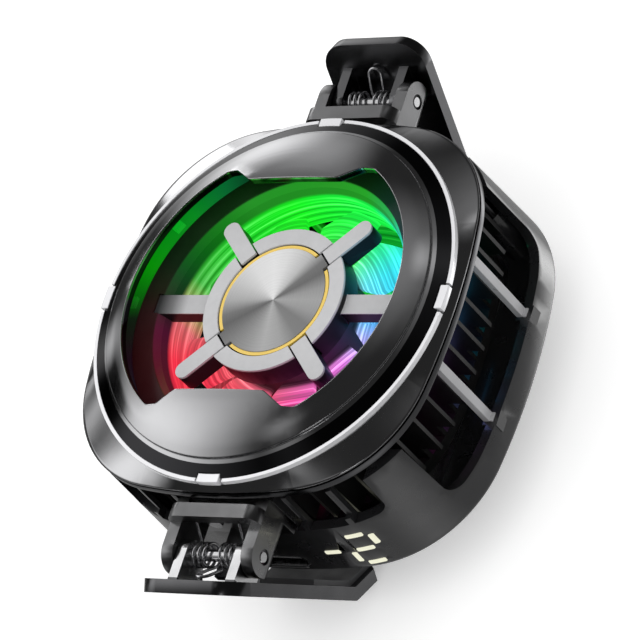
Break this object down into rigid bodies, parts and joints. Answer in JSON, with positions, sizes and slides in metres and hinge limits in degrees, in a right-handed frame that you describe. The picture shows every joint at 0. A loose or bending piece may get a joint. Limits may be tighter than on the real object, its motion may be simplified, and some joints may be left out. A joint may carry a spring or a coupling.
{
  "type": "phone cooling fan",
  "caption": "Clip-on cooling fan for a phone, with a lit fan behind a spoked round window, vented sides, a cold plate and sprung jaws.",
  "frame": {"origin": "centre of the bounding box, at its bottom, which is the level of the jaw tips", "axes": "+Z out through the fan window, +Y towards the upper clip, +X to the right of the window; the readout is on the -Y wall at +X"},
  "size_m": [0.0604, 0.0888, 0.0368],
  "materials": {
    "bezel": "gloss",
    "trim": "polished",
    "frame": "gloss",
    "shell": "satin",
    "bars": "satin",
    "heat_sink": "black anodised",
    "duct": "matte",
    "light_guide": "frosted",
    "circuit": "satin",
    "led": "lit",
    "hub_grey": "satin",
    "hub_disc": "radially brushed",
    "accent": "gloss",
    "brass": "machined",
    "steel": "machined",
    "copper": "enamelled",
    "rotor": "frosted",
    "magnet": "matte",
    "ceramic": "matte",
    "foam": "matte",
    "cold_plate": "satin",
    "pad": "matte",
    "readout": "lit",
    "bracket": "satin",
    "pin": "polished",
    "lever": "gloss",
    "spring": "polished"
  },
  "bodies": {
    "body": {"front_bezel": "bezel", "trim_ring": "trim", "ring_tabs": "trim", "mid_frame": "frame", "rear_shell": "shell", "vent_bars": "bars", "heat_sink": "heat_sink", "fan_duct": "duct", "light_guide": "light_guide", "led_board": "circuit", "leds": "led", "fan_guard": "hub_grey", "hub_ring": "hub_grey", "hub_disc": "hub_disc", "accent_arcs": "accent", "motor_base": "duct", "bearing_sleeve": "brass", "stator_core": "steel", "stator_coils": "copper", "tec_module": "ceramic", "tec_gasket": "foam", "cold_plate": "cold_plate", "contact_pad": "pad", "usb_socket": "steel", "usb_tongue": "duct", "control_board": "circuit", "display_module": "duct", "display_segments": "readout", "case_screws": "steel", "clip_bracket_top": "bracket", "bracket_screws_top": "steel", "clip_pin_top": "pin", "clip_spring_top": "spring", "clip_bracket_bottom": "bracket", "bracket_screws_bottom": "steel", "clip_pin_bottom": "pin", "clip_spring_bottom": "spring"},
    "rotor": {"fan_rotor": "rotor", "rotor_shaft": "steel", "rotor_magnet": "magnet"},
    "lever_top": {"clip_lever_top": "lever", "jaw_pad_top": "pad"},
    "lever_bottom": {"clip_lever_bottom": "lever", "jaw_pad_bottom": "pad"}
  },
  "joints": [
    {"name": "rotor_spin", "type": "hinge", "parent": "body", "child": "rotor", "pos_m": [0, 0, 0.0236], "axis": [0, 0, 1], "continuous": true},
    {"name": "lever_top_hinge", "type": "hinge", "parent": "body", "child": "lever_top", "pos_m": [0, 0.0362, 0.0252], "axis": [1, 0, 0], "range_deg": [0, 38], "stiffness_Nm_per_rad": 0.08, "springref_deg": -5.73, "deforming": ["clip_spring_top"]},
    {"name": "lever_bottom_hinge", "type": "hinge", "parent": "body", "child": "lever_bottom", "pos_m": [0, -0.0362, 0.0252], "axis": [-1, 0, 0], "range_deg": [0, 38], "stiffness_Nm_per_rad": 0.08, "springref_deg": -5.73, "deforming": ["clip_spring_bottom"]}
  ]
}
